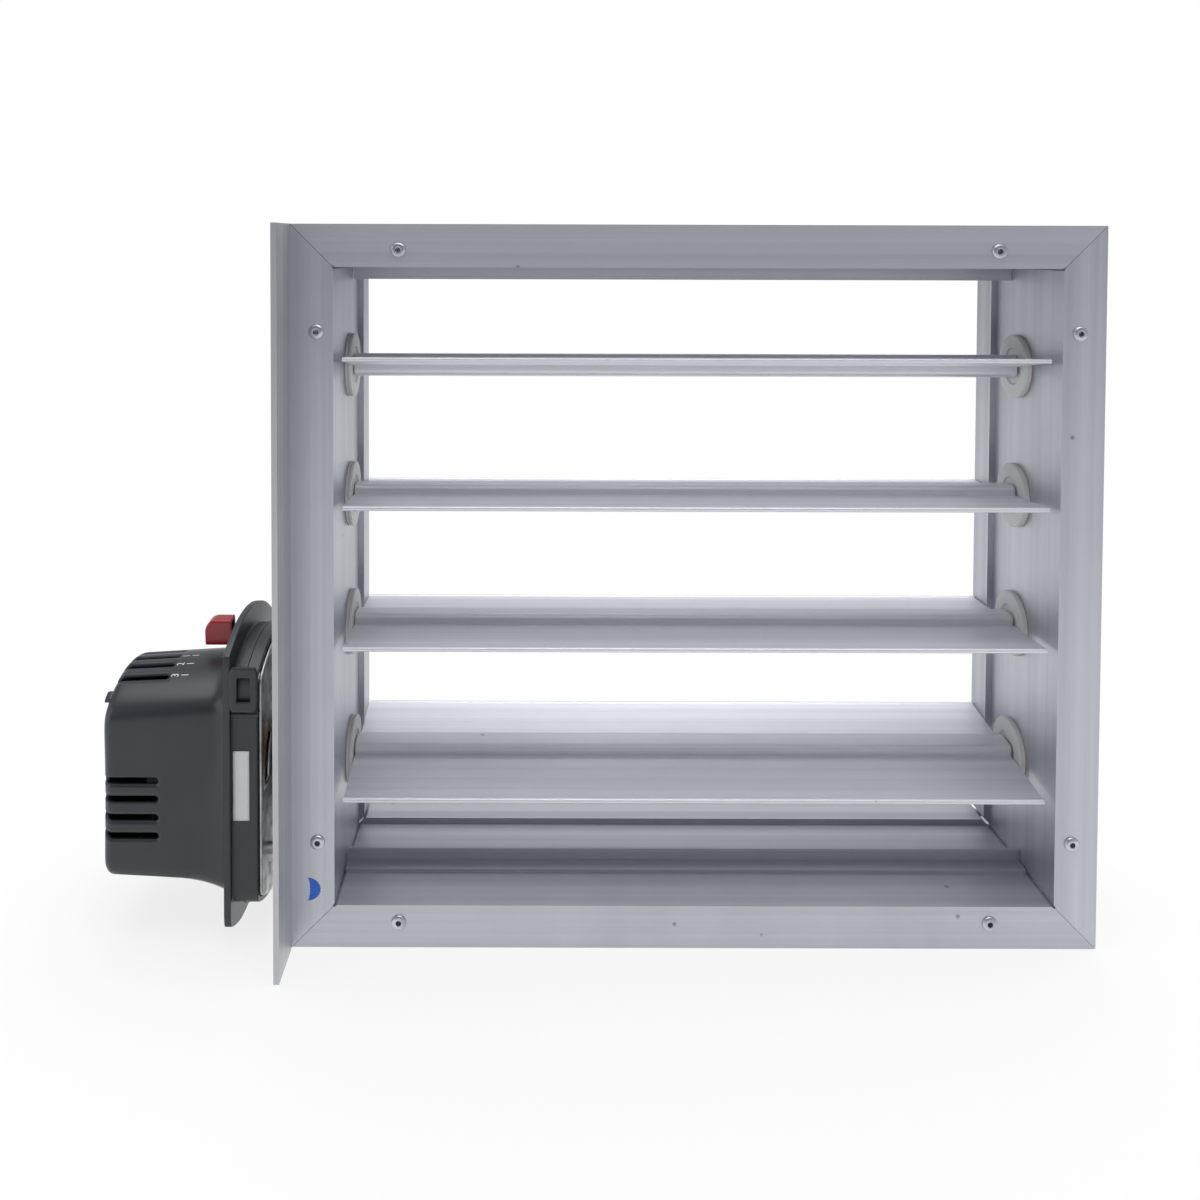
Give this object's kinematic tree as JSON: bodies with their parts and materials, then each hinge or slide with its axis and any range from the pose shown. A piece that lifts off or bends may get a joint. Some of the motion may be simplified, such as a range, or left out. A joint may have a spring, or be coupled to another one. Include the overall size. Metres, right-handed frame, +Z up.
{
  "type": "volume control damper",
  "caption": "Rectangular aluminium volume control damper with parallel blades on nylon bearings, linked cranks in a side channel and a rotary electric actuator.",
  "frame": {"origin": "centre of the footprint on the surface that the damper stands on", "axes": "+X across the opening away from the actuator, +Y with the airflow from the front flange to the rear flange, +Z up"},
  "size_m": [0.4674, 0.153, 0.34],
  "materials": {
    "mill_aluminium": "mill finish, drawn lines along the rails",
    "blade_aluminium": "mill finish, drawn lines along the blade",
    "rivet_aluminium": "satin",
    "white_nylon": "satin",
    "dark_plastic": "semi-gloss with a fine grain",
    "red_plastic": "semi-gloss",
    "brass": "satin",
    "zinc_steel": "zinc plated",
    "spring_steel": "black oxide",
    "label_white": "paper label",
    "board_green": "solder resist",
    "terminal_plastic": "semi-gloss"
  },
  "bodies": {
    "housing": {"actuator_back_plate": "zinc_steel", "actuator_base": "dark_plastic", "actuator_cover": "dark_plastic", "actuator_screws": "zinc_steel", "actuator_standoffs": "zinc_steel", "bearing_left_1": "white_nylon", "bearing_left_2": "white_nylon", "bearing_left_3": "white_nylon", "bearing_left_4": "white_nylon", "bearing_right_1": "white_nylon", "bearing_right_2": "white_nylon", "bearing_right_3": "white_nylon", "bearing_right_4": "white_nylon", "blade_stop_bottom": "mill_aluminium", "blade_stop_top": "mill_aluminium", "circuit_board": "board_green", "frame_bottom": "mill_aluminium", "frame_left": "mill_aluminium", "frame_right": "mill_aluminium", "frame_top": "mill_aluminium", "front_corner_cleats": "mill_aluminium", "front_rivets": "rivet_aluminium", "motor": "zinc_steel", "rating_label": "label_white", "rear_corner_cleats": "mill_aluminium", "rear_rivets": "rivet_aluminium", "return_spring": "spring_steel", "side_plate": "mill_aluminium", "side_plate_screws": "zinc_steel", "terminal_block": "terminal_plastic"},
    "drive_blade": {"blade_1": "blade_aluminium", "shaft_1": "zinc_steel", "crank_1": "zinc_steel", "link_pin_1": "zinc_steel", "retaining_clip_1": "zinc_steel", "shaft_hub": "brass", "output_gear": "brass", "position_lever": "red_plastic"},
    "upper_blade_2": {"blade_2": "blade_aluminium", "shaft_2": "zinc_steel", "crank_2": "zinc_steel", "link_pin_2": "zinc_steel", "retaining_clip_2": "zinc_steel"},
    "upper_blade_3": {"blade_3": "blade_aluminium", "shaft_3": "zinc_steel", "crank_3": "zinc_steel", "link_pin_3": "zinc_steel", "retaining_clip_3": "zinc_steel"},
    "upper_blade_4": {"blade_4": "blade_aluminium", "shaft_4": "zinc_steel", "crank_4": "zinc_steel", "link_pin_4": "zinc_steel", "retaining_clip_4": "zinc_steel"},
    "link": {"link_bar": "zinc_steel"},
    "pinion": {"motor_pinion": "brass"}
  },
  "joints": [
    {"name": "damper_turn", "type": "hinge", "parent": "housing", "child": "drive_blade", "pos_m": [0.0447, -0.0045, 0.07325], "axis": [1, 0, 0], "range_deg": [-77, 0]},
    {"name": "blade_2_turn", "type": "hinge", "parent": "housing", "child": "upper_blade_2", "pos_m": [0.0447, -0.0045, 0.13875], "axis": [1, 0, 0], "range_deg": [-77, 0]},
    {"name": "blade_3_turn", "type": "hinge", "parent": "housing", "child": "upper_blade_3", "pos_m": [0.0447, -0.0045, 0.20425], "axis": [1, 0, 0], "range_deg": [-77, 0]},
    {"name": "blade_4_turn", "type": "hinge", "parent": "housing", "child": "upper_blade_4", "pos_m": [0.0447, -0.0045, 0.26975], "axis": [1, 0, 0], "range_deg": [-77, 0]},
    {"name": "link_swing", "type": "hinge", "parent": "drive_blade", "child": "link", "pos_m": [-0.13355, -0.02705, 0.06504], "axis": [1, 0, 0], "range_deg": [0, 77]},
    {"name": "pinion_spin", "type": "hinge", "parent": "housing", "child": "pinion", "pos_m": [-0.1735, -0.0045, 0.04225], "axis": [1, 0, 0], "range_deg": [0, 321.3]}
  ],
  "couplings": [
    {"joint": "blade_2_turn", "follows": "damper_turn", "ratio": 1},
    {"joint": "blade_3_turn", "follows": "damper_turn", "ratio": 1},
    {"joint": "blade_4_turn", "follows": "damper_turn", "ratio": 1},
    {"joint": "link_swing", "follows": "damper_turn", "ratio": -1},
    {"joint": "pinion_spin", "follows": "damper_turn", "ratio": -4.1667}
  ]
}
